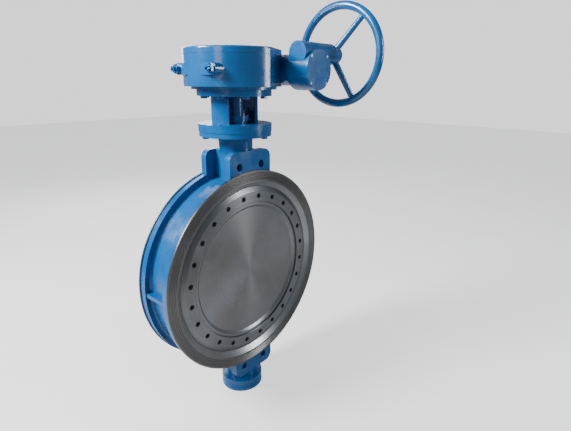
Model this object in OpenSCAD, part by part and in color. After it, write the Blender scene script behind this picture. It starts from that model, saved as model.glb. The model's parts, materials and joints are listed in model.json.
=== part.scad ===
// Wafer butterfly valve, metal seated, worked by a two-stage worm gearbox with a handwheel.
// Millimetres. The pipe runs along Y, the stem along Z, and the handwheel shaft along X.
// The origin is under the middle of the bottom cap, on the stem axis.

/* [Valve body] */
// Height of the pipe axis above the underside of the bottom cap
bore_z = 620; // [620:1:640]
// Distance between the two flange faces
face_to_face = 190; // [190:1:200]
// Bore diameter at the visible face
bore_d = 800; // [798:1:804]
// Outer diameter of the machined sealing faces
face_d = 896; // [894:1:900]
// Outer diameter of the painted flange rims
rim_d = 888; // [882:1:890]
// Thickness of each painted flange rim
rim_t = 30; // [26:1:32]
// Outer diameter of the body between the rims
barrel_d = 836; // [830:1:842]
// Circle of the pipe flange bolts
pipe_bolt_pcd = 950; // [948:1:952]
// Diameter of the tapped pipe bolt holes in the ears
ear_hole_d = 30; // [27:0.5:30]
// Width of the ears
ear_w = 230; // [220:2:240]

/* [Disc and stem] */
// Stem diameter
stem_d = 70; // [69:1:71]
// Radius of the sphere that the turning disc stays inside
sweep_r = 385.4; // [384:0.1:385.4]
// Circle of the retaining ring screws
ring_pcd = 674; // [670:1:676]
// Number of retaining ring screws
ring_screw_count = 24; // [12:4:24]

/* [Yoke] */
// Diameter of the four round mounting flanges along the stem
top_flange_d = 300; // [296:1:304]
// Bolt circle of those flanges
top_flange_pcd = 254; // [250:1:256]
// Outer diameter of the yoke between its flanges
yoke_d = 192; // [190:1:196]
// Angle that each yoke column covers
column_angle = 66; // [56:2:70]

/* [Main gearbox] */
// Outer diameter of the round housing
drum_d = 394; // [390:1:398]
// Number of teeth on the full main wheel
main_teeth = 52; // [52:1:52]
// Module of the main worm and wheel
main_module = 6; // [6:1:6]
// Sideways distance from the stem to the main worm
main_worm_x = 199; // [199:1:199]
// Outer diameter of the worm tube
worm_tube_d = 122; // [118:1:124]

/* [Reducer and handwheel] */
// Number of teeth on the reducer wheel
reducer_teeth = 24; // [24:1:24]
// Module of the reducer worm and wheel
reducer_module = 3.75; // [3.75:0.25:3.75]
// Outer diameter of the reducer barrel
reducer_d = 155; // [152:1:160]
// Outer diameter of the input tube
input_tube_d = 84; // [80:1:88]
// Outer diameter of the handwheel
handwheel_d = 428; // [420:2:450]
// Diameter of the round rim section
rim_section_d = 34; // [28:1:36]

/* [Hidden] */
$fn = 96;

// Paint and metal colours
paint = [0.10, 0.42, 0.70];
machined = [0.55, 0.54, 0.52];
steel = [0.62, 0.63, 0.65];
bronze = [0.72, 0.52, 0.26];
graphite = [0.20, 0.20, 0.21];
rubber_black = [0.07, 0.07, 0.07];

// Valve body levels and radii
half_w = face_to_face / 2;
raised_t = 7;
rim_back_y = half_w - raised_t - rim_t;
bore_r = bore_d / 2;
rear_bore_r = bore_r - 10;
stem_r = stem_d / 2;
stem_fit = 0.05;
screw_fit = 0.1;
seat_front_y = -94;
seat_back_y = -47;
seat_cone_y = -77;
seat_gap = 0.6;
hub_r = 52;
hub_top = 372;
bush_r = 44;
bush_in = 393;
bush_out = 525;
neck_r = 70;
box_r = 48;
box_floor = 534;
ear_top = 532;
ear_bottom = 516;
ear_corner = 34;
body_flange_z0 = 588;
body_flange_z1 = 608;
bottom_boss_r = 97;
bottom_boss_top = 565;
bottom_boss_low = 588;
gasket_t = 2;
pipe_bolt_step = 15;
serration_count = 5;
ear_hole_depth = 34;
ear_box_w = 126;

// Yoke levels, above the pipe axis
yoke_low_z1 = 638;
yoke_top_z0 = 745;
yoke_top_z1 = 770;
yoke_bore_r = 84;
top_bolt_count = 8;
top_bolt_r = 8;
top_flange_r = top_flange_d / 2;

// Gland
stud_x = 67;
stud_r = 8;
packing_count = 5;
packing_h = 12;

// Main gearbox levels, above the pipe axis
drum_r = drum_d / 2;
drum_z0 = 780;
drum_z1 = 896;
cover_z0 = 897;
cover_z1 = 921;
drum_wall = 12;
base_ring_r = 170;
facet_angle = -61.4;
facet_dist = 173;
facet_wall = 8.5;
main_axis_z = 845;
main_pitch_r = main_module * main_teeth / 2;
main_worm_r = main_worm_x - main_pitch_r;
main_lead = PI * main_module;
worm_tube_r = worm_tube_d / 2;
worm_tube_back = 146;
worm_tube_front = -162;
bearing_r = 36;
bearing_bore_r = 20;
bearing_w = 20;
bearing_y = 86;
chamber_half = 74;
chamber_r = 48.2;
stop_y = 99;
stop_z = 842;
stop_face_x = -195;
stop_screw_r = 10;
sector_half = 65;
wheel_half_w = 18;
hub_gear_r = 70;

// Reducer
input_axis_y = -219;
reducer_pitch_r = reducer_module * reducer_teeth / 2;
input_worm_r = 18;
input_axis_z = main_axis_z + reducer_pitch_r + input_worm_r;
input_lead = PI * reducer_module;
reducer_r = reducer_d / 2;
reducer_end_y = -267;
reducer_cover_t = 8;
reducer_cavity_r = 66;
reducer_wall = 14;
input_tube_r = input_tube_d / 2;
input_tube_x0 = 128;
input_tube_x1 = 340;
input_bearing_r = 26;
input_bearing_bore_r = 12.5;
input_bearing_w = 15;
input_bearing_xs = [152, 312];
input_chamber_r = 26;

// Handwheel
wheel_hub_x0 = 342;
wheel_hub_x1 = 388;
wheel_rim_x = 410;
spoke_root_x = 356;
spoke_phase = 36;
spoke_r = 12.5;
rim_r = (handwheel_d - rim_section_d) / 2;

// ---- Shared shapes ----

// Children given about the stem, with heights counted from the pipe axis
module from_bore() {
    translate([0, 0, bore_z]) children();
}

// Profile of [radius, y] points turned about the pipe axis
module turned_y(points) {
    from_bore() rotate([-90, 0, 0]) rotate_extrude() polygon(points);
}

// Solid bar along Y between two places
module bar_y(r, y0, y1, x = 0, z = 0) {
    translate([x, y0, z]) rotate([-90, 0, 0]) cylinder(r = r, h = y1 - y0);
}

// Solid bar along X between two places
module bar_x(r, x0, x1, y = 0, z = 0) {
    translate([x0, y, z]) rotate([0, 90, 0]) cylinder(r = r, h = x1 - x0);
}

// Solid bar along Z between two levels
module bar_z(r, z0, z1, x = 0, y = 0) {
    translate([x, y, z0]) cylinder(r = r, h = z1 - z0);
}

// Tube along Z
module tube_z(r_out, r_in, z0, z1) {
    difference() {
        bar_z(r_out, z0, z1);
        bar_z(r_in, z0 - 1, z1 + 1);
    }
}

// Children repeated on a circle about Z
module around_z(count, r, first = 0) {
    for (i = [0 : count - 1])
        rotate([0, 0, first + i * 360 / count]) translate([r, 0, 0]) children();
}

// Children repeated on a circle about the local Z, turned to face along Y
module around_y(count, r, first = 0) {
    for (i = [0 : count - 1]) {
        a = first + i * 360 / count;
        translate([r * cos(a), 0, r * sin(a)]) children();
    }
}

// Hexagon bolt standing up from z = 0, head below
module hex_bolt(r, length, head_h, across) {
    translate([0, 0, -head_h]) cylinder(r = across / 2 / cos(30), h = head_h, $fn = 6);
    cylinder(r = r, h = length);
}

// Socket screw: head from z = 0 upwards, shank below
module socket_screw(r, length, head_r, head_h) {
    difference() {
        cylinder(r = head_r, h = head_h);
        translate([0, 0, head_h / 2]) cylinder(r = r * 0.9, h = head_h, $fn = 6);
    }
    translate([0, 0, -length]) cylinder(r = r, h = length + 0.01);
}

// Hexagon nut with a round hole, from z = 0 upwards
module hex_nut(r, across, h) {
    difference() {
        cylinder(r = across / 2 / cos(30), h = h, $fn = 6);
        translate([0, 0, -1]) cylinder(r = r, h = h + 2);
    }
}

// Ball bearing ring profile about the local Z: race is the half-width of its groove
module bearing_ring(r_in, r_out, w, race_r, ball_r) {
    rotate_extrude() difference() {
        translate([r_in, -w / 2]) square([r_out - r_in, w]);
        translate([race_r, 0]) circle(r = ball_r + 0.15, $fn = 48);
    }
}

// Thread of a single-start right-hand worm about the local Z, centred at z = 0
module worm_thread(root_r, tip_r, half_root, half_tip, lead, turns, slices) {
    sides = 36;
    function height_at(s) =
        s <= half_tip ? tip_r :
        s >= half_root ? root_r :
        tip_r - (tip_r - root_r) * (s - half_tip) / (half_root - half_tip);
    function along(a) = lead * min(a, 360 - a) / 360;
    translate([0, 0, -turns * lead / 2]) rotate([0, 0, -turns * 180])
        linear_extrude(height = turns * lead, twist = -turns * 360, slices = slices, $fn = sides)
            polygon([for (i = [0 : sides - 1])
                let (a = i * 360 / sides, r = height_at(along(a))) [r * cos(a), r * sin(a)]]);
}

// Gear tooth pointing along +X, drawn as a symmetric trapezium
module tooth_2d(root_r, tip_r, half_root, half_tip) {
    polygon([[root_r - 2, -half_root], [tip_r, -half_tip], [tip_r, half_tip], [root_r - 2, half_root]]);
}

// ---- Valve body ----

module ear_outline(height) {
    w = ear_w / 2;
    translate([-w, 300]) square([ear_w, height - ear_corner - 300]);
    translate([-w + ear_corner, 300]) square([ear_w - 2 * ear_corner, height - 300]);
    for (side = [-1, 1])
        translate([side * (w - ear_corner), height - ear_corner]) circle(r = ear_corner);
}

module ear_pair(height) {
    for (side = [-1, 1])
        translate([0, side > 0 ? half_w - raised_t : -rim_back_y, 0])
            rotate([90, 0, 0]) linear_extrude(rim_t) ear_outline(height);
}

// Half of the H-shaped ring section, from the middle plane outwards
module body_ring() {
    face_r = face_d / 2;
    rim_outer_r = rim_d / 2;
    barrel_r = barrel_d / 2;
    y1 = rim_back_y;
    y2 = half_w - raised_t;
    fillet = 10;
    steps = 5;
    function corner(s, i) =
        [barrel_r + fillet * (1 - sin(90 * i / steps)), s * (y1 - fillet * (1 - cos(90 * i / steps)))];
    turned_y(concat(
        [[300, -half_w], [face_r, -half_w], [face_r, -y2], [rim_outer_r, -y2], [rim_outer_r, -y1]],
        [for (i = [0 : steps]) corner(-1, i)],
        [for (i = [steps : -1 : 0]) corner(1, i)],
        [[rim_outer_r, y1], [rim_outer_r, y2], [face_r, y2], [face_r, half_w], [300, half_w]]
    ));
}

module serrations() {
    for (side = [-1, 1])
        for (i = [0 : serration_count - 1]) {
            r = bore_r + 10 + i * 7;
            y0 = side * half_w;
            turned_y([[r - 2, y0 + side], [r - 2, y0], [r, y0 - side * 2], [r + 2, y0], [r + 2, y0 + side]]);
        }
}

// Square part of the neck between the two ears
module neck_box(height) {
    translate([-ear_box_w / 2, -rim_back_y - 1, 380]) cube([ear_box_w, 2 * rim_back_y + 2, height - 380]);
}

module valve_body() {
    // Each ear hole is blind. The rear ones are 0.02 mm wider, to set them apart from the front ones
    hole_r = ear_hole_d / 2;
    hole_a = pipe_bolt_step / 2;
    color(paint) difference() {
        union() {
            body_ring();
            from_bore() {
                ear_pair(ear_top);
                mirror([0, 0, 1]) ear_pair(ear_bottom);
                bar_z(neck_r, 360, body_flange_z0 + 1);
                neck_box(ear_top - 2);
                mirror([0, 0, 1]) neck_box(ear_bottom - 16);
                bar_z(top_flange_r - 2, body_flange_z0, body_flange_z1);
                bar_z(neck_r, -bottom_boss_top - 1, -360);
                bar_z(bottom_boss_r, -bottom_boss_low, -bottom_boss_top);
                for (side = [-1, 1])
                    translate([side * (barrel_d / 2 + 8) - 14, -rim_back_y - 1, -8]) cube([28, 2 * rim_back_y + 2, 16]);
            }
        }
        from_bore() {
            bar_y(bore_r, -half_w - 1, seat_back_y);
            bar_y(rear_bore_r, seat_back_y - 1, half_w + 1);
            bar_z(bush_r, -bottom_boss_low - 1, box_floor + 1);
            bar_z(box_r, box_floor, body_flange_z1 + 1);
            for (a = [90 - hole_a, 90 + hole_a, 270 - hole_a, 270 + hole_a], side = [-1, 1])
                translate([pipe_bolt_pcd / 2 * cos(a), 0, pipe_bolt_pcd / 2 * sin(a)]) rotate([side * 90, 0, 0]) {
                    r = side > 0 ? hole_r : hole_r + 0.02;
                    translate([0, 0, half_w - ear_hole_depth]) cylinder(r = r, h = ear_hole_depth);
                    translate([0, 0, half_w - raised_t - 2]) cylinder(r1 = hole_r, r2 = hole_r + 3, h = 3);
                }
            around_z(top_bolt_count, top_flange_pcd / 2, 22.5)
                bar_z(top_bolt_r + 1, body_flange_z0 - 1, body_flange_z1 + 1);
            for (side = [-1, 1])
                bar_z(stud_r + screw_fit, body_flange_z1 - 16, body_flange_z1 + 1, side * stud_x);
            around_z(6, 78) bar_z(6 + screw_fit, -bottom_boss_low - 1, -bottom_boss_low + 15);
        }
        serrations();
    }
}

// Inside it follows the sphere that the disc turns in, and opens to the front as a cone
module seat_ring() {
    steps = 5;
    function sphere_at(y) = sqrt(pow(sweep_r + seat_gap, 2) - y * y);
    color(machined) turned_y(concat(
        [for (i = [0 : steps])
            let (y = seat_cone_y + (seat_back_y - seat_cone_y) * i / steps) [sphere_at(y), y]],
        [[bore_r, seat_back_y], [bore_r, seat_front_y]]
    ));
}

// ---- Stem bearings, packing and gland ----

module upper_bush() {
    color(bronze) from_bore() tube_z(bush_r, stem_r + stem_fit, bush_in, bush_out);
}

module lower_bush() {
    color(bronze) from_bore() tube_z(bush_r, stem_r + stem_fit, -bush_out, -bush_in);
}

module thrust_washers() {
    color(bronze) from_bore() {
        tube_z(bush_r - 0.5, stem_r + stem_fit, hub_top + 0.5, bush_in);
        tube_z(bush_r - 0.5, stem_r + stem_fit, -bush_in, -hub_top - 0.5);
    }
}

module packing_rings() {
    color(graphite) from_bore()
        for (i = [0 : packing_count - 1]) {
            z = box_floor + i * packing_h;
            tube_z(box_r - 0.1, stem_r + stem_fit, z, z + packing_h - 0.4);
        }
}

gland_z = box_floor + packing_count * packing_h;
gland_collar_z = 646;
gland_flange_z0 = 652;
gland_flange_z1 = 670;

module gland_bush() {
    color(steel) from_bore() difference() {
        union() {
            bar_z(box_r - 0.3, gland_z, gland_collar_z + 1);
            bar_z(55, gland_collar_z, gland_flange_z0);
        }
        bar_z(stem_r + 0.6, gland_z - 1, gland_flange_z0 + 1);
    }
}

module gland_flange() {
    color(paint) from_bore() difference() {
        union() {
            bar_z(56, gland_flange_z0, gland_flange_z1);
            for (side = [-1, 1])
                bar_z(14, gland_flange_z0, gland_flange_z1, side * stud_x);
            translate([-stud_x, -14, gland_flange_z0]) cube([2 * stud_x, 28, gland_flange_z1 - gland_flange_z0]);
        }
        bar_z(stem_r + 1.5, gland_flange_z0 - 1, gland_flange_z1 + 1);
        for (side = [-1, 1])
            bar_z(stud_r + 0.8, gland_flange_z0 - 1, gland_flange_z1 + 1, side * stud_x);
    }
}

module gland_studs() {
    color(steel) from_bore()
        for (side = [-1, 1]) bar_z(stud_r, body_flange_z1 - 15, gland_flange_z1 + 26, side * stud_x);
}

module gland_nuts() {
    color(steel) from_bore()
        for (side = [-1, 1])
            translate([side * stud_x, 0, gland_flange_z1]) hex_nut(stud_r + screw_fit, 24, 14);
}

// ---- Bottom of the stem ----

stem_foot = -556;
cap_spigot_z = -568;

module bottom_thrust_plate() {
    color(bronze) from_bore() bar_z(bush_r - 1, cap_spigot_z, stem_foot - 0.3);
}

module bottom_gasket() {
    z1 = -bottom_boss_low;
    color(graphite) from_bore() difference() {
        tube_z(bottom_boss_r - 1.5, bush_r + 1, z1 - gasket_t, z1);
        around_z(6, 78) bar_z(7, z1 - gasket_t - 1, z1 + 1);
    }
}

module bottom_cap() {
    z1 = -bottom_boss_low - gasket_t;
    color(paint) from_bore() difference() {
        union() {
            bar_z(bottom_boss_r, -bore_z, z1);
            bar_z(bush_r - 1, z1 - 1, cap_spigot_z);
        }
        tube_z(bottom_boss_r + 5, bottom_boss_r - 2, z1 - 13, z1 - 10);
        around_z(6, 78) {
            bar_z(7, -bore_z - 1, z1 + 1);
            bar_z(10, -bore_z - 1, -bore_z + 13);
        }
    }
}

module bottom_cap_screws() {
    color(steel) from_bore() around_z(6, 78)
        translate([0, 0, -bore_z + 13]) rotate([180, 0, 0]) socket_screw(6, 30, 9, 12);
}

// ---- Yoke and its bolts ----

module yoke() {
    half = column_angle / 2;
    reach = 2 * yoke_d;
    color(paint) from_bore() difference() {
        union() {
            bar_z(top_flange_r, body_flange_z1, yoke_low_z1);
            bar_z(top_flange_r, yoke_top_z0, yoke_top_z1);
            difference() {
                bar_z(yoke_d / 2, yoke_low_z1 - 1, yoke_top_z0 + 1);
                for (side = [-1, 1])
                    translate([0, 0, yoke_low_z1]) linear_extrude(yoke_top_z0 - yoke_low_z1)
                        polygon([[0, 0], side * reach * [cos(half), sin(half)], [0, side * reach],
                            side * reach * [-cos(half), sin(half)]]);
            }
        }
        bar_z(yoke_bore_r, body_flange_z1 - 1, yoke_top_z0 + 1);
        bar_z(60, yoke_top_z0 - 1, yoke_top_z1 + 1);
        around_z(top_bolt_count, top_flange_pcd / 2, 22.5) {
            bar_z(top_bolt_r + screw_fit, body_flange_z1 - 1, yoke_low_z1 + 1);
            bar_z(top_bolt_r + 1, yoke_top_z0 - 1, yoke_top_z1 + 1);
        }
    }
}

module body_flange_bolts() {
    color(paint) from_bore() around_z(top_bolt_count, top_flange_pcd / 2, 22.5)
        translate([0, 0, body_flange_z0]) hex_bolt(top_bolt_r, 42, 10, 24);
}

module gearbox_flange_bolts() {
    color(paint) from_bore() around_z(top_bolt_count, top_flange_pcd / 2, 22.5)
        translate([0, 0, yoke_top_z0]) hex_bolt(top_bolt_r, 33, 10, 24);
}

// ---- Main gearbox ----

// Plan of the round housing with its one flat side, inset by a wall thickness
module drum_plan(inset) {
    difference() {
        circle(r = drum_r - inset);
        rotate(facet_angle) translate([facet_dist - min(inset, facet_wall), -drum_r]) square([2 * drum_r, drum_d]);
    }
}

module drum_slab(inset, z0, z1) {
    translate([0, 0, z0]) linear_extrude(z1 - z0) drum_plan(inset);
}

cover_screw_angles = [30, 75, 120, 165, 210, 250, 333];

module at_cover_screws() {
    for (a = cover_screw_angles)
        rotate([0, 0, a]) translate([drum_r - 7.5, 0, 0]) children();
}

// Raised pad on the back of the drum, with a round end about each stop screw
module stop_pads() {
    pad_r = 21;
    translate([stop_face_x, 0, stop_z]) rotate([0, 90, 0]) linear_extrude(80) {
        translate([-pad_r, -stop_y]) square([2 * pad_r, 2 * stop_y]);
        for (side = [-1, 1]) translate([0, side * stop_y]) circle(r = pad_r);
    }
}

module gearbox_housing() {
    color(paint) from_bore() difference() {
        union() {
            drum_slab(0, drum_z0, drum_z1);
            bar_z(base_ring_r, yoke_top_z1, drum_z0 + 1);
            difference() {
                bar_y(worm_tube_r, worm_tube_front, worm_tube_back, main_worm_x, main_axis_z);
                drum_slab(-1, drum_z1, cover_z1);
            }
            stop_pads();
        }
        drum_slab(drum_wall, drum_z0 + 10, drum_z1 + 1);
        bar_y(chamber_r, -chamber_half, chamber_half, main_worm_x, main_axis_z);
        bar_y(bearing_r, -bearing_y - 10, worm_tube_back + 1, main_worm_x, main_axis_z);
        bar_y(bearing_r - 6, worm_tube_front - 1, -bearing_y, main_worm_x, main_axis_z);
        bar_z(bush_r, yoke_top_z1 - 1, drum_z0 + 11);
        around_z(top_bolt_count, top_flange_pcd / 2, 22.5)
            bar_z(top_bolt_r + screw_fit, yoke_top_z1 - 1, drum_z0 + 11);
        for (side = [-1, 1])
            bar_x(stop_screw_r + screw_fit, stop_face_x - 1, -100, side * stop_y, stop_z);
        at_cover_screws() bar_z(3 + screw_fit, drum_z1 - 22, drum_z1 + 1);
        for (a = [45 : 90 : 315]) {
            x = main_worm_x + 49 * cos(a);
            z = main_axis_z + 49 * sin(a);
            bar_y(4 + screw_fit, worm_tube_back - 18, worm_tube_back + 1, x, z);
            bar_y(4 + screw_fit, worm_tube_front - 1, worm_tube_front + 18, x, z);
        }
    }
}

module gearbox_stem_bush() {
    color(bronze) from_bore() tube_z(bush_r, stem_r + stem_fit, yoke_top_z1, drum_z0 + 12);
}

module gearbox_gasket() {
    color(graphite) from_bore() difference() {
        drum_slab(0.8, drum_z1, cover_z0);
        drum_slab(drum_wall, drum_z1 - 1, cover_z0 + 1);
        at_cover_screws() bar_z(3.6, drum_z1 - 1, cover_z0 + 1);
    }
}

module gearbox_cover() {
    edge = 7;
    steps = 4;
    color(paint) from_bore() difference() {
        intersection() {
            translate([0, 0, cover_z0]) rotate_extrude() polygon(concat(
                [[0, 0], [drum_r, 0]],
                [for (i = [0 : steps])
                    let (a = 90 * i / steps)
                        [drum_r - edge + edge * cos(a), cover_z1 - cover_z0 - edge + edge * sin(a)]],
                [[0, cover_z1 - cover_z0]]
            ));
            drum_slab(0, cover_z0 - 1, cover_z1 + 1);
        }
        bar_z(15 + stem_fit, cover_z0 - 1, cover_z1 + 1);
        at_cover_screws() {
            bar_z(3.6, cover_z0 - 1, cover_z1 + 1);
            bar_z(5.6, cover_z1 - 10, cover_z1 + 1);
        }
    }
}

module gearbox_cover_screws() {
    color(steel) from_bore() at_cover_screws()
        translate([0, 0, cover_z1 - 10]) socket_screw(3, 34, 5, 6);
}

stop_tip_x = -40.5;

module stop_screws() {
    color(paint) from_bore() for (side = [-1, 1]) difference() {
        bar_x(stop_screw_r, stop_face_x - 25, stop_tip_x, side * stop_y, stop_z);
        translate([stop_face_x - 26, side * stop_y, stop_z]) rotate([0, 90, 0]) cylinder(r = 5.8, h = 9, $fn = 6);
    }
}

module stop_nuts() {
    color(paint) from_bore() for (side = [-1, 1])
        translate([stop_face_x, side * stop_y, stop_z]) rotate([0, -90, 0]) hex_nut(stop_screw_r + screw_fit, 30, 14);
}

module indicator_plate() {
    color(steel) from_bore() difference() {
        tube_z(46, 17, cover_z1, cover_z1 + 1.5);
        for (a = [0, 90]) rotate([0, 0, a]) translate([36, -1, cover_z1 + 0.8]) cube([8, 2, 2]);
    }
}

module main_bearing_outer_rings() {
    color(steel) from_bore() for (side = [-1, 1])
        translate([main_worm_x, side * bearing_y, main_axis_z]) rotate([90, 0, 0])
            bearing_ring(30, bearing_r, bearing_w, 28, 5);
}

module main_bearing_inner_rings() {
    color(steel) from_bore() for (side = [-1, 1])
        translate([main_worm_x, side * bearing_y, main_axis_z]) rotate([90, 0, 0])
            bearing_ring(bearing_bore_r, 26, bearing_w, 28, 5);
}

module ball_circle(count, race_r, ball_r) {
    for (i = [0 : count - 1])
        rotate([0, 0, i * 360 / count]) translate([race_r, 0, 0]) sphere(r = ball_r, $fn = 24);
}

module main_bearing_balls() {
    color(steel) from_bore() for (side = [-1, 1])
        translate([main_worm_x, side * bearing_y, main_axis_z]) rotate([90, 0, 0]) ball_circle(12, 28, 5);
}

module worm_tube_cap() {
    color(paint) from_bore() difference() {
        union() {
            bar_y(worm_tube_r, worm_tube_back, worm_tube_back + 10, main_worm_x, main_axis_z);
            bar_y(bearing_r - 0.2, bearing_y + bearing_w / 2 + 0.2, worm_tube_back + 1, main_worm_x, main_axis_z);
        }
        bar_y(bearing_r - 8, bearing_y, worm_tube_back - 1, main_worm_x, main_axis_z);
        for (a = [45 : 90 : 315])
            bar_y(4.5, worm_tube_back - 1, worm_tube_back + 11,
                main_worm_x + 49 * cos(a), main_axis_z + 49 * sin(a));
    }
}

module worm_tube_cap_screws() {
    color(paint) from_bore() for (a = [45 : 90 : 315])
        translate([main_worm_x + 49 * cos(a), worm_tube_back + 10, main_axis_z + 49 * sin(a)])
            rotate([90, 0, 0]) hex_bolt(4, 25, 5.5, 13);
}

module main_shaft_seal() {
    color(rubber_black) from_bore() difference() {
        bar_y(bearing_r - 6, -112, -100, main_worm_x, main_axis_z);
        bar_y(18 + stem_fit, -113, -99, main_worm_x, main_axis_z);
    }
}

// ---- Reducer ----

module reducer_housing() {
    inner_y = worm_tube_front - reducer_wall;
    color(paint) from_bore() difference() {
        union() {
            bar_y(reducer_r, reducer_end_y, worm_tube_front - 6, main_worm_x, main_axis_z);
            translate([main_worm_x, worm_tube_front - 6, main_axis_z]) rotate([-90, 0, 0])
                cylinder(r1 = reducer_r, r2 = reducer_r - 6, h = 6);
            bar_x(input_tube_r, input_tube_x0, input_tube_x1, input_axis_y, input_axis_z);
        }
        bar_y(reducer_cavity_r, reducer_end_y - 1, inner_y, main_worm_x, main_axis_z);
        bar_y(24, inner_y - 1, worm_tube_front + 1, main_worm_x, main_axis_z);
        bar_x(input_chamber_r, input_bearing_xs[0] + 7, input_bearing_xs[1] - 7, input_axis_y, input_axis_z);
        bar_x(input_bearing_r, input_tube_x0 - 1, input_bearing_xs[0] + 8, input_axis_y, input_axis_z);
        bar_x(input_bearing_r, input_bearing_xs[1] - 8, input_tube_x1 + 1, input_axis_y, input_axis_z);
        for (a = [45 : 90 : 315]) {
            bar_y(4.5, inner_y - 1, worm_tube_front + 1, main_worm_x + 49 * cos(a), main_axis_z + 49 * sin(a));
            bar_y(3 + screw_fit, reducer_end_y - 1, reducer_end_y + 16,
                main_worm_x + 71 * cos(a), main_axis_z + 71 * sin(a));
        }
    }
}

module reducer_flange_screws() {
    inner_y = worm_tube_front - reducer_wall;
    color(steel) from_bore() for (a = [45 : 90 : 315])
        translate([main_worm_x + 49 * cos(a), inner_y, main_axis_z + 49 * sin(a)])
            rotate([90, 0, 0]) socket_screw(4, 30, 6.5, 8);
}

module reducer_cover() {
    y0 = reducer_end_y - reducer_cover_t;
    color(paint) from_bore() difference() {
        union() {
            translate([main_worm_x, y0, main_axis_z]) rotate([-90, 0, 0]) {
                cylinder(r1 = reducer_r - 1.5, r2 = reducer_r, h = 1.5);
                translate([0, 0, 1.5]) cylinder(r = reducer_r, h = reducer_cover_t - 1.5);
            }
            bar_y(reducer_cavity_r - 0.5, reducer_end_y - 1, reducer_end_y + 5, main_worm_x, main_axis_z);
        }
        for (a = [45 : 90 : 315]) {
            bar_y(3.5, y0 - 1, reducer_end_y + 6, main_worm_x + 71 * cos(a), main_axis_z + 71 * sin(a));
            bar_y(6, y0 - 1, y0 + 4, main_worm_x + 71 * cos(a), main_axis_z + 71 * sin(a));
        }
    }
}

module reducer_cover_screws() {
    y0 = reducer_end_y - reducer_cover_t;
    color(steel) from_bore() for (a = [45 : 90 : 315])
        translate([main_worm_x + 71 * cos(a), y0 + 4, main_axis_z + 71 * sin(a)])
            rotate([90, 0, 0]) socket_screw(3, 16, 5, 3.5);
}

module input_bearing_outer_rings() {
    color(steel) from_bore() for (x = input_bearing_xs)
        translate([x, input_axis_y, input_axis_z]) rotate([0, 90, 0])
            bearing_ring(21.5, input_bearing_r, input_bearing_w, 19.5, 4);
}

module input_bearing_inner_rings() {
    color(steel) from_bore() for (x = input_bearing_xs)
        translate([x, input_axis_y, input_axis_z]) rotate([0, 90, 0])
            bearing_ring(input_bearing_bore_r, 17.5, input_bearing_w, 19.5, 4);
}

module input_bearing_balls() {
    color(steel) from_bore() for (x = input_bearing_xs)
        translate([x, input_axis_y, input_axis_z]) rotate([0, 90, 0]) ball_circle(10, 19.5, 4);
}

module input_shaft_seal() {
    x0 = input_tube_x1 - 12;
    color(rubber_black) from_bore() difference() {
        bar_x(input_bearing_r, x0, x0 + 10, input_axis_y, input_axis_z);
        bar_x(input_bearing_bore_r + stem_fit, x0 - 1, x0 + 11, input_axis_y, input_axis_z);
    }
}

module input_tube_plug() {
    color(paint) from_bore()
        bar_x(input_bearing_r - 0.1, input_tube_x0, input_tube_x0 + 12, input_axis_y, input_axis_z);
}

// ---- Disc and stem ----

module disc() {
    rib_z = 170;
    color(machined) difference() {
        union() {
            turned_y([
                [0, -72], [286, -72], [297, -80], [309, -80], [309, -62], [350, -62], [350, -50], [380, -50],
                [379, -30], [372, -22], [330, -22], [300, -34], [0, -34]
            ]);
            from_bore() {
                bar_z(hub_r, -hub_top, hub_top);
                translate([-hub_r + 4, -40, -hub_top]) cube([2 * hub_r - 8, 40, 2 * hub_top]);
                for (side = [-1, 1])
                    translate([-290, -40, side * rib_z - 10]) cube([580, 50, 20]);
            }
        }
        from_bore() {
            bar_z(stem_r + 0.02, -bore_r, bore_r);
            for (side = [0, 1]) mirror([0, 0, side]) bar_z(bush_r + 1, hub_top, bore_r);
            for (z = [-250, 250]) bar_x(10 + 0.02, -60, 60, 0, z);
            around_y(ring_screw_count, ring_pcd / 2, 7.5) bar_y(6 + screw_fit, -63, -42);
        }
    }
}

module seal_ring_layers() {
    layers = [[-61.9, 3], [-58.7, 1.2], [-57.3, 3], [-54.1, 1.2], [-52.7, 2.6]];
    color(steel) for (layer = layers) {
        y0 = layer[0];
        r = sqrt(pow(sweep_r, 2) - y0 * y0) - 0.2;
        turned_y([[350.2, y0], [r, y0], [r, y0 + layer[1]], [350.2, y0 + layer[1]]]);
    }
}

module retaining_ring() {
    color(machined) difference() {
        turned_y([[310, -86], [311, -87], [357, -87], [377, -77], [377, -62.1], [310, -62.1]]);
        from_bore() around_y(ring_screw_count, ring_pcd / 2, 7.5) {
            bar_y(6.5, -88, -61);
            bar_y(11, -88, -74);
        }
    }
}

module ring_screws() {
    color(graphite) from_bore() around_y(ring_screw_count, ring_pcd / 2, 7.5)
        translate([0, -74, 0]) rotate([90, 0, 0]) socket_screw(6, 30, 9, 9);
}

stem_top = 884;

module stem() {
    spindle_top = cover_z1 + 8;
    color(steel) from_bore() difference() {
        union() {
            bar_z(stem_r, stem_foot, stem_top);
            bar_z(15, stem_top - 1, cover_z1 + 1.8);
            bar_z(6, cover_z1, spindle_top);
        }
        for (z = [-250, 250]) bar_x(10 + 0.02, -60, 60, 0, z);
        for (a = [90, 270]) rotate([0, 0, a]) translate([stem_r - 8, -10.02, 802]) cube([10, 20.04, 100]);
    }
}

module disc_pins() {
    color(steel) from_bore() for (z = [-250, 250]) bar_x(10, -51.5, 51.5, 0, z);
}

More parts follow.
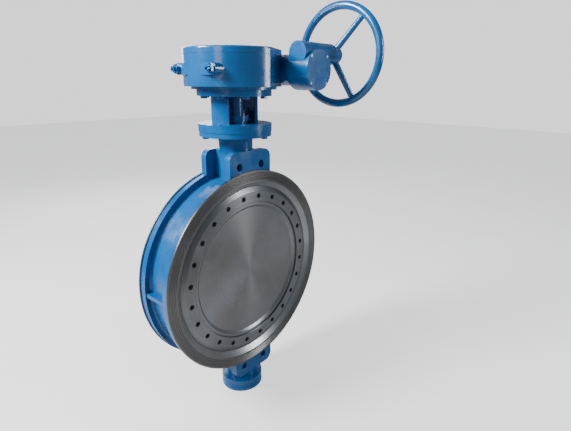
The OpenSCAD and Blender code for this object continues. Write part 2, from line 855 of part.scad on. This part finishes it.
// Sector of the main worm wheel, drawn at the closed position
module worm_wheel() {
    root_r = main_pitch_r - 7.5;
    tip_r = main_pitch_r + 5.5;
    closed = -45;
    first = ceil((closed - sector_half + 3) * main_teeth / 360);
    last = floor((closed + sector_half - 3) * main_teeth / 360);
    reach = 400;
    color(bronze) from_bore() difference() {
        union() {
            tube_z(hub_gear_r, stem_r + 0.02, 796, 880);
            translate([0, 0, main_axis_z - wheel_half_w]) linear_extrude(2 * wheel_half_w) {
                difference() {
                    intersection() {
                        circle(r = root_r);
                        polygon([[0, 0],
                            reach * [cos(closed - sector_half), sin(closed - sector_half)],
                            1.5 * reach * [cos(closed - 22), sin(closed - 22)],
                            1.5 * reach * [cos(closed + 22), sin(closed + 22)],
                            reach * [cos(closed + sector_half), sin(closed + sector_half)]]);
                    }
                    circle(r = hub_gear_r - 5);
                }
                for (i = [first : last])
                    rotate(i * 360 / main_teeth) tooth_2d(root_r, tip_r, 4.6, 1.6);
            }
        }
        for (a = [90, 270]) rotate([0, 0, a]) translate([stem_r - 8, -10.02, 795]) cube([14, 20.04, 100]);
    }
}

module worm_wheel_keys() {
    color(steel) from_bore() for (a = [90, 270])
        rotate([0, 0, a]) translate([stem_r - 7.9, -10, 803]) cube([13.5, 20, 76]);
}

module indicator_pointer() {
    z = cover_z1 + 2.2;
    color(rubber_black) from_bore() difference() {
        union() {
            bar_z(16, z, z + 5);
            translate([0, 0, z]) linear_extrude(3) polygon([[0, -9], [33, -2], [36, 0], [33, 2], [0, 9]]);
        }
        bar_z(6.02, z - 1, z + 6);
    }
}

// ---- Main worm shaft ----

module main_worm() {
    root_r = main_worm_r - 7.3;
    color(steel) from_bore() translate([main_worm_x, 0, main_axis_z]) {
        difference() {
            union() {
                bar_y(bearing_bore_r, -bearing_y - 10, bearing_y + 12);
                bar_y(18, input_axis_y - 32, -bearing_y - 9);
                bar_y(27, -75, 75);
            }
            translate([-5.02, input_axis_y - 15.5, 13]) cube([10.04, 31, 6]);
        }
        rotate([-90, 0, 0]) worm_thread(root_r, main_worm_r + 4.5, 5.9, 1.5, main_lead, 5.25, 84);
    }
}

module reducer_wheel() {
    root_r = reducer_pitch_r - 5;
    color(bronze) from_bore() translate([main_worm_x, input_axis_y, main_axis_z]) rotate([90, 0, 0]) difference() {
        union() {
            translate([0, 0, -8]) linear_extrude(16) {
                circle(r = root_r);
                for (i = [0 : reducer_teeth - 1])
                    rotate(90 + i * 360 / reducer_teeth) tooth_2d(root_r, reducer_pitch_r + 3.4, 2.8, 0.9);
            }
            translate([0, 0, -16]) cylinder(r = 28, h = 32);
        }
        translate([0, 0, -17]) cylinder(r = 18.02, h = 34);
        translate([-5.02, 12, -17]) cube([10.04, 11, 34]);
    }
}

module reducer_wheel_key() {
    color(steel) from_bore() translate([main_worm_x - 5, input_axis_y - 15, main_axis_z + 13.1]) cube([10, 30, 9.5]);
}

// ---- Input shaft and handwheel ----

module input_worm() {
    root_r = input_worm_r - 4.9;
    color(steel) from_bore() translate([0, input_axis_y, input_axis_z]) {
        difference() {
            union() {
                bar_x(input_bearing_bore_r, input_bearing_xs[0] - 8, input_tube_x1 + 1);
                bar_x(11, input_tube_x1, wheel_hub_x1 - 2);
                bar_x(8, wheel_hub_x1 - 3, wheel_hub_x1 + 20);
            }
            translate([wheel_hub_x0 + 3, -3.02, 7]) cube([38, 6.04, 5]);
        }
        translate([main_worm_x, 0, 0]) rotate([0, 90, 0]) rotate([0, 0, 180])
            worm_thread(root_r, input_worm_r + 3.4, 3.6, 0.8, input_lead, 4.75, 57);
    }
}

// One spoke leans outwards from the hub to the rim
module spoke() {
    rise = rim_r - 10;
    run = wheel_rim_x - spoke_root_x;
    translate([spoke_root_x, 0, 0]) rotate([0, atan2(run, rise), 0])
        translate([0, 0, 14]) cylinder(r1 = spoke_r + 2, r2 = spoke_r - 1, h = sqrt(rise * rise + run * run) - 14);
}

module handwheel() {
    color(paint) from_bore() translate([0, input_axis_y, input_axis_z]) difference() {
        union() {
            translate([wheel_rim_x, 0, 0]) rotate([0, 90, 0]) rotate_extrude()
                translate([rim_r, 0]) circle(r = rim_section_d / 2, $fn = 48);
            bar_x(38, wheel_hub_x0, wheel_hub_x0 + 20);
            bar_x(33, wheel_hub_x0 + 19, wheel_hub_x1);
            for (i = [0 : 2]) rotate([spoke_phase + i * 120, 0, 0]) spoke();
        }
        bar_x(11.02, wheel_hub_x0 - 1, wheel_hub_x1 + 1);
        translate([wheel_hub_x0 - 1, -3.02, 7]) cube([wheel_hub_x1 - wheel_hub_x0 + 2, 6.04, 7.5]);
    }
}

module handwheel_key() {
    color(steel) from_bore() translate([wheel_hub_x0 + 3.2, input_axis_y - 3, input_axis_z + 7.1]) cube([37.5, 6, 7]);
}

module handwheel_washer() {
    color(steel) from_bore() difference() {
        bar_x(17, wheel_hub_x1, wheel_hub_x1 + 3, input_axis_y, input_axis_z);
        bar_x(8.3, wheel_hub_x1 - 1, wheel_hub_x1 + 4, input_axis_y, input_axis_z);
    }
}

module handwheel_nut() {
    color(steel) from_bore() translate([wheel_hub_x1 + 3, input_axis_y, input_axis_z])
        rotate([0, 90, 0]) hex_nut(8 + screw_fit, 24, 13);
}

valve_body();
seat_ring();
upper_bush();
lower_bush();
thrust_washers();
packing_rings();
gland_bush();
gland_flange();
gland_studs();
gland_nuts();
bottom_thrust_plate();
bottom_gasket();
bottom_cap();
bottom_cap_screws();
yoke();
body_flange_bolts();
gearbox_flange_bolts();
gearbox_housing();
gearbox_stem_bush();
gearbox_gasket();
gearbox_cover();
gearbox_cover_screws();
stop_screws();
stop_nuts();
indicator_plate();
main_bearing_outer_rings();
worm_tube_cap();
worm_tube_cap_screws();
main_shaft_seal();
reducer_housing();
reducer_cover();
reducer_cover_screws();
reducer_flange_screws();
input_bearing_outer_rings();
input_shaft_seal();
input_tube_plug();
disc();
seal_ring_layers();
retaining_ring();
ring_screws();
stem();
disc_pins();
worm_wheel();
worm_wheel_keys();
indicator_pointer();
main_worm();
main_bearing_inner_rings();
main_bearing_balls();
reducer_wheel();
reducer_wheel_key();
input_worm();
input_bearing_inner_rings();
input_bearing_balls();
handwheel();
handwheel_key();
handwheel_washer();
handwheel_nut();
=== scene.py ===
"""Looks for the wafer butterfly valve: gloss blue enamel, turned steel, bronze, graphite and rubber.

Every piece is the CAD model's own. This script gives each one a procedural material, rounds the
edges of the larger castings and turned parts, and sets up the floor, the lights and the camera. Sizes
are in metres.
"""

import json
import math

import bpy
from mathutils import Matrix, Vector


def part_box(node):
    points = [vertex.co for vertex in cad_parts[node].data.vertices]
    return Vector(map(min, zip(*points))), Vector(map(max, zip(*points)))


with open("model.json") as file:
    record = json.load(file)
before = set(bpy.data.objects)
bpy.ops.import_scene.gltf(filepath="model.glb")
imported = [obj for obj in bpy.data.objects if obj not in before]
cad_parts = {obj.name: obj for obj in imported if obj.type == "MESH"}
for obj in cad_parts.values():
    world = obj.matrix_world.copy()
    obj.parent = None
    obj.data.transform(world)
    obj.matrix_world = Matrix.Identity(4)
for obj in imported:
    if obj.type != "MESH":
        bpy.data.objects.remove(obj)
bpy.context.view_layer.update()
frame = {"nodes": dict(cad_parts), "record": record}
record = frame["record"]

# Places read from the frame
bore_z = next(m["pos_m"][2] for m in record["mounts"] if m["name"] == "inlet_face")
face_y = abs(next(m["pos_m"][1] for m in record["mounts"] if m["name"] == "inlet_face"))
body_low, body_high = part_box("valve_body")
face_radius = (body_high[0] - body_low[0]) / 2
seat_low, seat_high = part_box("seat_ring")
bore_radius = (seat_high[0] - seat_low[0]) / 2
yoke_low, yoke_high = (corner[2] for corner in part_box("yoke"))

# Depth of bare metal behind each sealing face, the slack at its edge and in the bore, and the y
# behind which the disc is left as cast
BARE_DEPTH = 0.0064
FACE_SLACK = 0.002
BORE_SLACK = 0.001
DISC_CAST_Y = -0.049

# Paint and metal colours, linear light
ENAMEL = (0.001, 0.090, 0.270)
ENAMEL_DEEP = (0.001, 0.060, 0.200)
ENAMEL_PALE = (0.010, 0.180, 0.430)
TURNED = (0.215, 0.228, 0.248)
TURNED_DARK = (0.150, 0.158, 0.172)
OILED = (0.135, 0.128, 0.120)
DISC_DARK = (0.190, 0.200, 0.215)
DISC_STAIN = (0.165, 0.150, 0.130)
CAST_GREY = (0.120, 0.125, 0.130)

# A quarter turn, so that highlights spread across the lathe marks and not along them
ACROSS_MARKS = 0.25


# ---- Node helpers ----


class Graph:
    """A material under construction, with one Principled shader."""

    def __init__(self, name):
        self.material = bpy.data.materials.new(name)
        self.material.use_nodes = True
        self.nodes = self.material.node_tree.nodes
        self.links = self.material.node_tree.links
        self.shader = self.nodes["Principled BSDF"]
        self.coords = self.nodes.new("ShaderNodeTexCoord").outputs["Object"]

    def link(self, source, target):
        self.links.new(source, target)

    def put(self, value, socket):
        """Sets a number or colour on a socket, or links an output to it."""
        if isinstance(value, bpy.types.NodeSocket):
            self.links.new(value, socket)
        elif isinstance(value, tuple) and len(value) == 3 and len(socket.default_value) == 4:
            socket.default_value = (*value, 1.0)
        else:
            socket.default_value = value

    def maths(self, operation, a, b=0.0, clamp=False):
        node = self.nodes.new("ShaderNodeMath")
        node.operation = operation
        node.use_clamp = clamp
        self.put(a, node.inputs[0])
        self.put(b, node.inputs[1])
        return node.outputs[0]

    def mix(self, factor, a, b):
        node = self.nodes.new("ShaderNodeMix")
        node.data_type = "RGBA"
        self.put(factor, node.inputs["Factor"])
        self.put(a, node.inputs["A"])
        self.put(b, node.inputs["B"])
        return node.outputs["Result"]

    def blend(self, factor, a, b):
        node = self.nodes.new("ShaderNodeMix")
        node.data_type = "FLOAT"
        self.put(factor, node.inputs["Factor"])
        self.put(a, node.inputs["A"])
        self.put(b, node.inputs["B"])
        return node.outputs["Result"]

    def noise(self, scale, detail=3.0, roughness=0.55, vector=None):
        node = self.nodes.new("ShaderNodeTexNoise")
        node.inputs["Scale"].default_value = scale
        node.inputs["Detail"].default_value = detail
        node.inputs["Roughness"].default_value = roughness
        self.link(vector or self.coords, node.inputs["Vector"])
        return node.outputs["Fac"]

    def ring_noise(self, distance, scale, detail=4.0):
        """Noise that changes only with a distance, for turned finishes."""
        node = self.nodes.new("ShaderNodeTexNoise")
        node.noise_dimensions = "1D"
        node.inputs["Scale"].default_value = scale
        node.inputs["Detail"].default_value = detail
        self.link(distance, node.inputs["W"])
        return node.outputs["Fac"]

    def stretch(self, value, low, high, to_low=0.0, to_high=1.0):
        node = self.nodes.new("ShaderNodeMapRange")
        self.put(value, node.inputs["Value"])
        limits = {"From Min": low, "From Max": high, "To Min": to_low, "To Max": to_high}
        for name, number in limits.items():
            node.inputs[name].default_value = number
        return node.outputs["Result"]

    def bump(self, height, strength, distance, normal=None):
        node = self.nodes.new("ShaderNodeBump")
        node.inputs["Strength"].default_value = strength
        node.inputs["Distance"].default_value = distance
        self.link(height, node.inputs["Height"])
        if normal:
            self.link(normal, node.inputs["Normal"])
        return node.outputs["Normal"]

    def axes(self):
        node = self.nodes.new("ShaderNodeSeparateXYZ")
        self.link(self.coords, node.inputs[0])
        return node.outputs["X"], node.outputs["Y"], node.outputs["Z"]

    def distance_2d(self, a, b):
        squares = self.maths("ADD", self.maths("MULTIPLY", a, a), self.maths("MULTIPLY", b, b))
        return self.maths("SQRT", squares)

    def from_pipe_axis(self):
        x, _, z = self.axes()
        return self.distance_2d(x, self.maths("SUBTRACT", z, bore_z))

    def radial_tangent(self):
        """Turns stretched highlights about the pipe axis, as lathe marks do."""
        node = self.nodes.new("ShaderNodeTangent")
        node.direction_type = "RADIAL"
        node.axis = "Y"
        self.link(node.outputs[0], self.shader.inputs["Tangent"])

    def finish(self, colour=None, metal=None, rough=None, normal=None, **constants):
        parts = {"Base Color": colour, "Metallic": metal, "Roughness": rough, "Normal": normal}
        for name, value in parts.items():
            if value is not None:
                self.put(value, self.shader.inputs[name])
        for name, number in constants.items():
            self.shader.inputs[name.replace("_", " ")].default_value = number
        return self.material


# ---- Materials ----


def enamel_parts(g, cast=1.0):
    """Colour, roughness and normal of brushed-on gloss enamel over a casting."""
    drift = g.stretch(g.noise(5.0, 3.0), 0.35, 0.65)
    colour = g.mix(drift, ENAMEL_DEEP, ENAMEL)
    chalk = g.stretch(g.noise(38.0, 5.0, 0.65), 0.60, 0.78)
    colour = g.mix(g.maths("MULTIPLY", chalk, 0.22), colour, ENAMEL_PALE)
    rough = g.stretch(g.noise(24.0, 4.0), 0.3, 0.7, 0.16, 0.30)
    lumps = g.bump(g.noise(46.0, 4.0, 0.6), 0.35 * cast, 0.0016)
    peel = g.bump(g.noise(330.0, 1.0), 0.16, 0.0005, lumps)
    return colour, rough, peel


def make_enamel(name, cast=1.0):
    g = Graph(name)
    colour, rough, normal = enamel_parts(g, cast)
    return g.finish(colour, 0.0, rough, normal, Coat_Weight=0.35, Coat_Roughness=0.08)


def turned_parts(g, distance, light, dark, stain):
    """Colour, roughness and normal of a face turned on a lathe, lightly stained by oil."""
    bands = g.stretch(g.ring_noise(distance, 85.0, 5.0), 0.0, 1.0)
    fine = g.ring_noise(distance, 420.0, 2.0)
    colour = g.mix(bands, dark, light)
    film = g.stretch(g.noise(4.5, 4.0, 0.6), 0.42, 0.70)
    colour = g.mix(g.maths("MULTIPLY", film, 0.55), colour, stain)
    rough = g.blend(film, g.stretch(bands, 0.0, 1.0, 0.30, 0.38), 0.46)
    normal = g.bump(fine, 0.10, 0.0003)
    return colour, rough, normal


def make_body_enamel(name):
    """Enamel outside, bare turned metal on the two sealing faces and in the bore."""
    g = Graph(name)
    colour, rough, normal = enamel_parts(g)
    _, y, _ = g.axes()
    distance = g.from_pipe_axis()
    on_face = g.maths("GREATER_THAN", g.maths("ABSOLUTE", y), face_y - BARE_DEPTH)
    in_bore = g.maths("LESS_THAN", distance, bore_radius + BORE_SLACK)
    near = g.maths("LESS_THAN", distance, face_radius + FACE_SLACK)
    bare = g.maths("MULTIPLY", g.maths("MAXIMUM", on_face, in_bore), near)
    bare_colour, bare_rough, bare_normal = turned_parts(g, distance, TURNED_DARK, OILED, OILED)
    normals = g.mix(bare, normal, bare_normal)
    g.radial_tangent()
    return g.finish(
        g.mix(bare, colour, bare_colour), bare, g.blend(bare, rough, bare_rough), normals,
        Anisotropic=0.6, Anisotropic_Rotation=ACROSS_MARKS,
    )


def make_turned(name, light, dark, stain, anisotropic=0.5, cast_behind=None):
    """Turned steel about the pipe axis; anything behind the given y is left as cast."""
    g = Graph(name)
    distance = g.from_pipe_axis()
    colour, rough, normal = turned_parts(g, distance, light, dark, stain)
    metal = 1.0
    if cast_behind is not None:
        _, y, _ = g.axes()
        cast = g.maths("GREATER_THAN", y, cast_behind)
        cast_normal = g.bump(g.noise(90.0, 5.0, 0.65), 0.5, 0.0015)
        colour = g.mix(cast, colour, CAST_GREY)
        rough = g.blend(cast, rough, 0.58)
        normal = g.mix(cast, normal, cast_normal)
        metal = g.blend(cast, 1.0, 0.75)
    g.radial_tangent()
    return g.finish(
        colour, metal, rough, normal, Anisotropic=anisotropic, Anisotropic_Rotation=ACROSS_MARKS
    )


def make_metal(name, light, dark, rough_low, rough_high, scale=60.0):
    """Plain bright metal with faint handling marks."""
    g = Graph(name)
    marks = g.noise(scale, 5.0, 0.6)
    colour = g.mix(g.stretch(marks, 0.35, 0.65), dark, light)
    rough = g.stretch(marks, 0.3, 0.7, rough_low, rough_high)
    scratch = g.bump(g.noise(900.0, 2.0), 0.12, 0.0003)
    return g.finish(colour, 1.0, rough, scratch)


def make_stem(name):
    """Turned steel, with the enamel brushed over it where it shows between the yoke columns."""
    g = Graph(name)
    colour, rough, normal = enamel_parts(g, 0.2)
    _, _, z = g.axes()
    painted = g.maths("GREATER_THAN", z, yoke_low)
    painted = g.maths("MULTIPLY", painted, g.maths("LESS_THAN", z, yoke_high))
    marks = g.noise(60.0, 5.0, 0.6)
    steel = g.mix(marks, TURNED_DARK, TURNED)
    return g.finish(
        g.mix(painted, steel, colour), g.blend(painted, 1.0, 0.0), g.blend(painted, 0.32, rough), normal
    )


def make_soft(name, light, dark, rough, grain, depth):
    """Rubber or graphite with a fine grain."""
    g = Graph(name)
    specks = g.noise(grain, 4.0)
    colour = g.mix(g.stretch(specks, 0.35, 0.65), dark, light)
    roughness = g.stretch(specks, 0.3, 0.7, rough - 0.08, rough + 0.08)
    return g.finish(colour, 0.0, roughness, g.bump(specks, 0.3, depth))


MATERIALS = {
    "body_blue_paint": make_body_enamel("body_enamel"),
    "gearbox_blue_paint": make_enamel("gearbox_enamel", 0.8),
    "handwheel_blue_paint": make_enamel("handwheel_enamel", 0.5),
    "painted_fasteners": make_enamel("fastener_enamel", 0.3),
    "stem_steel": make_stem("stem_steel"),
    "machined_disc_steel": make_turned(
        "disc_turned", TURNED, DISC_DARK, DISC_STAIN, 0.7, DISC_CAST_Y
    ),
    "retaining_ring_steel": make_turned("ring_turned", TURNED, TURNED_DARK, OILED, 0.75),
    "polished_seat_steel": make_turned(
        "seat_ground", (0.34, 0.35, 0.37), (0.24, 0.25, 0.26), TURNED_DARK, 0.6
    ),
    "turned_steel": make_metal("turned_steel", (0.44, 0.44, 0.45), (0.30, 0.30, 0.31), 0.24, 0.40),
    "zinc_fastener_steel": make_metal(
        "zinc_plate", (0.50, 0.50, 0.47), (0.33, 0.33, 0.31), 0.30, 0.45
    ),
    "black_oxide_screws": make_metal(
        "black_oxide", (0.060, 0.059, 0.058), (0.022, 0.022, 0.022), 0.38, 0.52
    ),
    "bronze": make_metal("bronze", (0.52, 0.31, 0.12), (0.36, 0.20, 0.07), 0.28, 0.44),
    "graphite": make_soft(
        "graphite", (0.055, 0.055, 0.057), (0.025, 0.025, 0.026), 0.50, 300.0, 0.0005
    ),
    "seal_rubber": make_soft(
        "seal_rubber", (0.028, 0.027, 0.026), (0.014, 0.014, 0.014), 0.60, 500.0, 0.0003
    ),
    "indicator_plate_metal": make_metal(
        "indicator_plate", (0.66, 0.66, 0.66), (0.48, 0.48, 0.48), 0.30, 0.42
    ),
    "indicator_pointer_paint": make_soft(
        "pointer_paint", (0.030, 0.030, 0.030), (0.018, 0.018, 0.018), 0.38, 200.0, 0.0003
    ),
    "bearing_steel": make_metal(
        "bearing_steel", (0.62, 0.62, 0.63), (0.50, 0.50, 0.51), 0.12, 0.22
    ),
}

# Degrees at which an edge counts as sharp
SHARP_ANGLE = 32

# Edge rounding for each kind of piece, in metres
CAST_EDGE = 0.0025
TURNED_EDGE = 0.0008
EDGES = {
    "valve_body": CAST_EDGE,
    "yoke": CAST_EDGE,
    "gearbox_housing": CAST_EDGE,
    "reducer_housing": CAST_EDGE,
    "gearbox_cover": 0.001,
    "handwheel": 0.0015,
    "bottom_cap": 0.0015,
    "disc": TURNED_EDGE,
    "retaining_ring": TURNED_EDGE,
    "seat_ring": TURNED_EDGE,
}


def round_edges(obj, width):
    """Breaks the sharp edges so that they catch the light, and smooths the round surfaces."""
    for polygon in obj.data.polygons:
        polygon.use_smooth = True
    bevel = obj.modifiers.new("edges", "BEVEL")
    bevel.width = width
    bevel.segments = 2
    bevel.limit_method = "ANGLE"
    bevel.angle_limit = math.radians(SHARP_ANGLE)
    bevel.use_clamp_overlap = True
    bevel.harden_normals = True


for entry in record["subparts"]:
    piece = frame["nodes"][entry["node"]]
    for place in piece.material_slots:
        place.material = MATERIALS[entry["material_slot"]]
for node, width in EDGES.items():
    round_edges(frame["nodes"][node], width)


# ---- Floor, lights and camera ----

FLOOR_HALF_SIDE = 14.0

# Emission that only the camera sees, and the weak room light that everything else sees
FLOOR_GLOW = 1.0
BACKDROP_STRENGTH = 1.4
ROOM_STRENGTH = 0.30


def make_floor():
    """A plain pale floor, which the camera sees brighter than the lights alone would leave it."""
    mesh = bpy.data.meshes.new("floor")
    side = FLOOR_HALF_SIDE
    corners = [(-side, -side, 0), (side, -side, 0), (side, side, 0), (-side, side, 0)]
    mesh.from_pydata(corners, [], [(0, 1, 2, 3)])
    floor = bpy.data.objects.new("floor", mesh)
    bpy.context.scene.collection.objects.link(floor)
    g = Graph("floor_paper")
    drift = g.stretch(g.noise(1.5, 2.0), 0.3, 0.7)
    tone = g.mix(drift, (0.44, 0.44, 0.44), (0.48, 0.48, 0.48))
    glow = g.nodes.new("ShaderNodeEmission")
    glow.inputs["Strength"].default_value = FLOOR_GLOW
    seen = g.nodes.new("ShaderNodeLightPath")
    only_seen = g.nodes.new("ShaderNodeMixShader")
    total = g.nodes.new("ShaderNodeAddShader")
    g.finish(tone, 0.0, 0.9)
    g.link(seen.outputs["Is Camera Ray"], only_seen.inputs[0])
    g.link(glow.outputs[0], only_seen.inputs[2])
    g.link(g.shader.outputs[0], total.inputs[0])
    g.link(only_seen.outputs[0], total.inputs[1])
    g.link(total.outputs[0], g.nodes["Material Output"].inputs["Surface"])
    mesh.materials.append(g.material)


def softbox(name, place, target, size, power):
    """A rectangular lamp aimed at a point; the size is in metres and the power in watts."""
    light = bpy.data.lights.new(name, "AREA")
    light.shape = "RECTANGLE"
    light.size, light.size_y = size
    light.energy = power
    lamp = bpy.data.objects.new(name, light)
    lamp.location = place
    lamp.rotation_euler = (Vector(target) - Vector(place)).to_track_quat("-Z", "Y").to_euler()
    bpy.context.scene.collection.objects.link(lamp)


make_floor()
middle = (0.0, 0.0, bore_z)
softbox("left_window", (-2.7, 1.3, 3.2), (0.0, 0.0, bore_z + 0.6), (1.1, 1.6), 450)
softbox("right_strip", (1.8, -2.5, 1.9), middle, (0.6, 1.5), 48)
softbox("front_strip", (-3.4, -0.9, 2.4), (0.0, 0.0, bore_z + 0.6), (1.0, 1.8), 24)
softbox("back_fill", (1.6, 3.6, 2.6), middle, (2.4, 2.4), 90)

world = bpy.data.worlds.new("studio")
world.use_nodes = True
studio = world.node_tree
backdrop = studio.nodes["Background"]
backdrop.inputs["Color"].default_value = (1.0, 1.0, 1.0, 1.0)
backdrop.inputs["Strength"].default_value = BACKDROP_STRENGTH
room = studio.nodes.new("ShaderNodeBackground")
room.inputs["Color"].default_value = (0.84, 0.92, 1.0, 1.0)
room.inputs["Strength"].default_value = ROOM_STRENGTH
seen = studio.nodes.new("ShaderNodeLightPath")
either = studio.nodes.new("ShaderNodeMixShader")
studio.links.new(seen.outputs["Is Camera Ray"], either.inputs[0])
studio.links.new(room.outputs[0], either.inputs[1])
studio.links.new(backdrop.outputs[0], either.inputs[2])
studio.links.new(either.outputs[0], studio.nodes["World Output"].inputs["Surface"])
bpy.context.scene.world = world

# The camera stands at the left of the front, about level with the gearbox, and looks down
CAMERA_PLACE = Vector((-1.1978, -1.3029, bore_z + 0.8027))
CAMERA_HEADING = math.radians(-49.418)
CAMERA_PITCH = math.radians(17.806)
CAMERA_ROLL = math.radians(0.5226)
camera_data = bpy.data.cameras.new("camera")
camera_data.sensor_width = 36.0
camera_data.lens = 26.41
camera = bpy.data.objects.new("camera", camera_data)
turn = (
    Matrix.Rotation(CAMERA_HEADING, 4, "Z")
    @ Matrix.Rotation(math.pi / 2 - CAMERA_PITCH, 4, "X")
    @ Matrix.Rotation(CAMERA_ROLL, 4, "Z")
)
camera.matrix_world = Matrix.Translation(CAMERA_PLACE) @ turn
bpy.context.scene.collection.objects.link(camera)
bpy.context.scene.camera = camera
